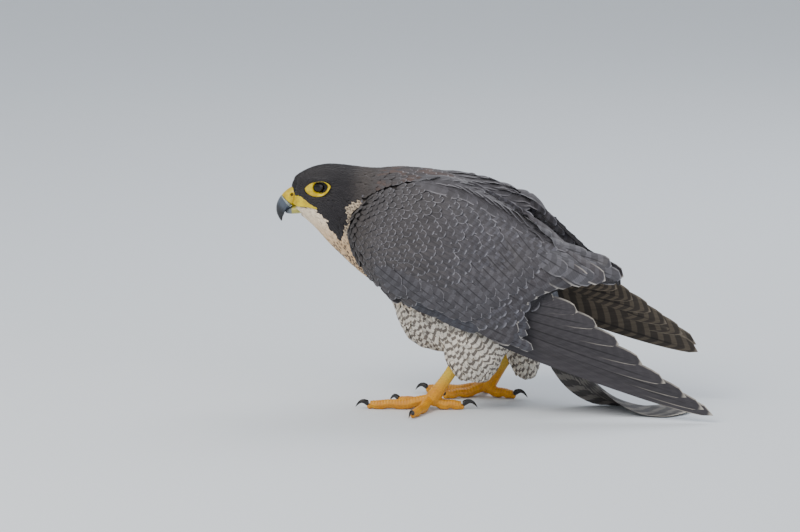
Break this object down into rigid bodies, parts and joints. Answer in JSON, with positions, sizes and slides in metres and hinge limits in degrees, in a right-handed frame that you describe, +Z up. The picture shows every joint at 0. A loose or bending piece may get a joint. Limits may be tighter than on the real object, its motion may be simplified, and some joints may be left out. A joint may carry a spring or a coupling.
{
  "type": "peregrine falcon",
  "caption": "Life-size standing peregrine falcon, leaning forward with half-folded wings and its tail laid on the floor.",
  "frame": {"origin": "centre of the bounding box's base, on the floor that the feet and tail rest on", "axes": "-X towards the bill, +X towards the wing tips, -Y the bird's left side, +Z up"},
  "size_m": [0.3874, 0.1794, 0.207],
  "materials": {
    "plumage": "matt feathers, slate above, cream with dark bars below",
    "quills": "smooth flight feathers, dark grey-brown with pale edges",
    "cere": "smooth waxy yellow skin",
    "horn": "polished blue-grey keratin",
    "scutes": "yellow scaled skin",
    "talons": "glossy black keratin",
    "eyes": "wet dark brown"
  },
  "bodies": {
    "root": {"head": "plumage", "neck": "plumage", "trunk": "plumage", "left_thigh": "plumage", "right_thigh": "plumage", "left_wing": "plumage", "right_wing": "plumage", "left_primaries": "quills", "right_primaries": "quills", "tail": "quills", "cere": "cere", "upper_bill": "horn", "lower_bill": "horn", "left_eye": "eyes", "right_eye": "eyes", "left_foot": "scutes", "right_foot": "scutes", "left_middle_claw": "talons", "left_outer_claw": "talons", "left_inner_claw": "talons", "left_hind_claw": "talons", "right_middle_claw": "talons", "right_outer_claw": "talons", "right_inner_claw": "talons", "right_hind_claw": "talons"}
  },
  "joints": []
}
